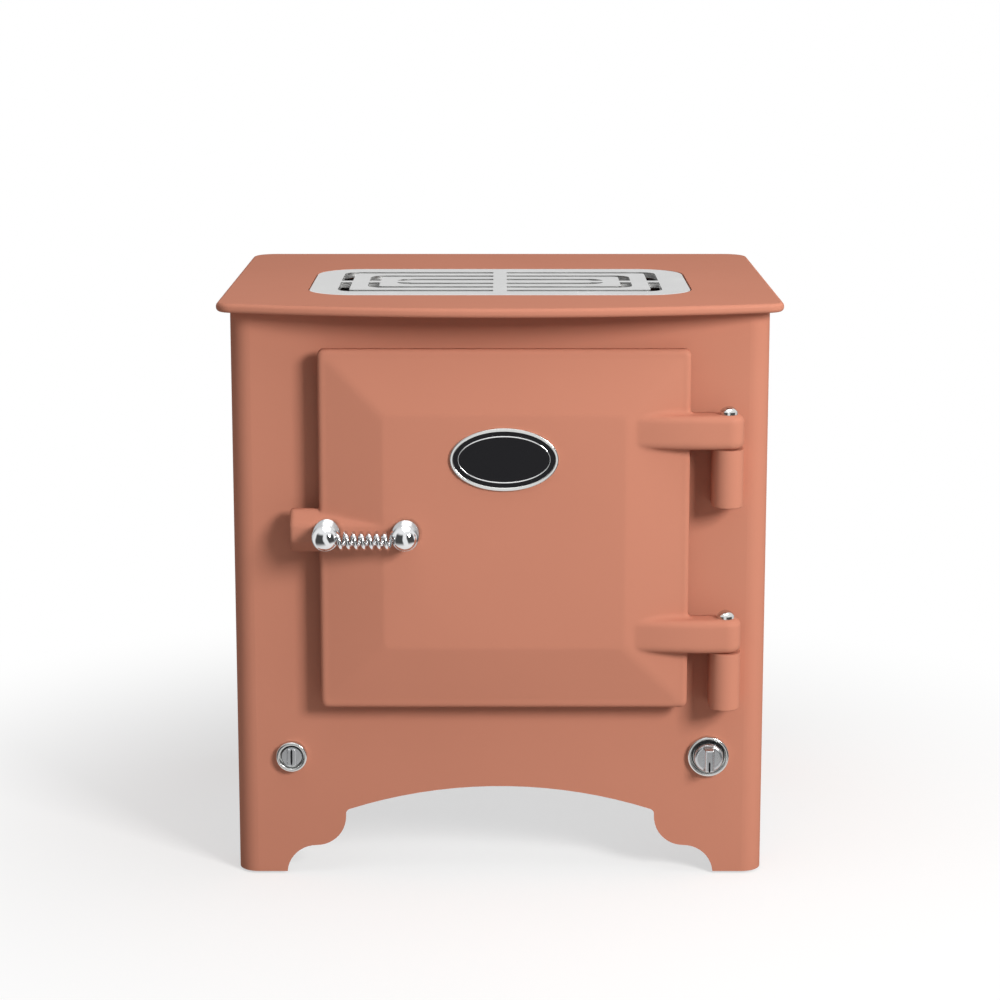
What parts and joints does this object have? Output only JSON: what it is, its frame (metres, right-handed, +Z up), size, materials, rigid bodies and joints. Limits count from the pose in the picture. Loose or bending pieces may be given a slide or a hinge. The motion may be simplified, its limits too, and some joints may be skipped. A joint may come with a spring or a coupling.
{
  "type": "electric stove",
  "caption": "Free-standing painted electric stove: warm-air grille in a bowed top plate, oven with shelf behind a side-hung door with a coil handle, turn controls low on the front, arched feet.",
  "frame": {"origin": "on the floor under the middle of the stove's overall width and depth", "axes": "+Z up; the door and controls face -Y; +X is to the right of someone facing the door, where the hinges are"},
  "size_m": [0.48, 0.4144, 0.507],
  "materials": {
    "paint": "satin terracotta-pink stove paint",
    "polished_casting": "polished casting",
    "chrome": "bright chrome plate",
    "black_enamel": "gloss black enamel",
    "stainless": "bright stainless sheet",
    "black_steel": "blackened steel",
    "glass_rope": "braided glass-fibre rope",
    "mineral_wool": "mineral wool batt",
    "galvanised": "galvanised sheet",
    "back_paint": "satin black paint",
    "plated_steel": "zinc-plated steel",
    "copper_tube": "drawn copper tube",
    "element_sheath": "dark alloy sheath",
    "black_moulding": "black moulding",
    "pale_moulding": "pale heat-resistant moulding",
    "black_rubber": "black rubber"
  },
  "bodies": {
    "body": {"casing": "paint", "door_seat": "paint", "top_plate": "paint", "top_grille": "polished_casting", "base_pan": "galvanised", "control_shield": "galvanised", "heat_deflector": "galvanised", "oven_liner": "stainless", "insulation_jacket": "mineral_wool", "insulation_slab": "mineral_wool", "shelf_rail_left": "stainless", "shelf_rail_right": "stainless", "hinge_bracket_upper": "paint", "hinge_bracket_lower": "paint", "thermostat": "black_moulding", "selector_switch": "black_moulding", "knob_bezel": "chrome", "button_bezel": "chrome", "back_panel": "back_paint", "back_screws": "plated_steel", "cable_bush": "black_rubber", "leg_gussets": "galvanised", "levelling_feet": "black_moulding", "oven_element": "element_sheath", "heater_element": "element_sheath", "heater_rests": "galvanised", "thermostat_sensor": "copper_tube", "terminal_block": "pale_moulding"},
    "door": {"door_panel": "paint", "door_liner": "stainless", "door_insulation": "mineral_wool", "rope_seal": "glass_rope", "liner_studs": "stainless", "liner_nuts": "black_steel", "hinge_pins": "chrome", "catch_magnet": "chrome", "handle_posts": "chrome", "handle_coil": "chrome", "badge_rim": "chrome", "badge_plate": "black_enamel"},
    "shelf": {"shelf": "stainless"},
    "knob": {"thermostat_knob": "chrome", "thermostat_spindle": "plated_steel"},
    "selector": {"selector_button": "chrome", "selector_spindle": "plated_steel"}
  },
  "joints": [
    {"name": "door_hinge", "type": "hinge", "parent": "body", "child": "door", "pos_m": [0.193, -0.17125, 0.311], "axis": [0, 0, 1], "range_deg": [0, 110]},
    {"name": "shelf_slide", "type": "slide", "parent": "body", "child": "shelf", "axis": [0, -1, 0], "range_m": [0, 0.024]},
    {"name": "knob_turn", "type": "hinge", "parent": "body", "child": "knob", "pos_m": [0.1815, -0.155, 0.108], "axis": [0, 1, 0], "range_deg": [0, 280]},
    {"name": "selector_turn", "type": "hinge", "parent": "body", "child": "selector", "pos_m": [-0.1815, -0.155, 0.108], "axis": [0, 1, 0], "range_deg": [-45, 45]}
  ]
}
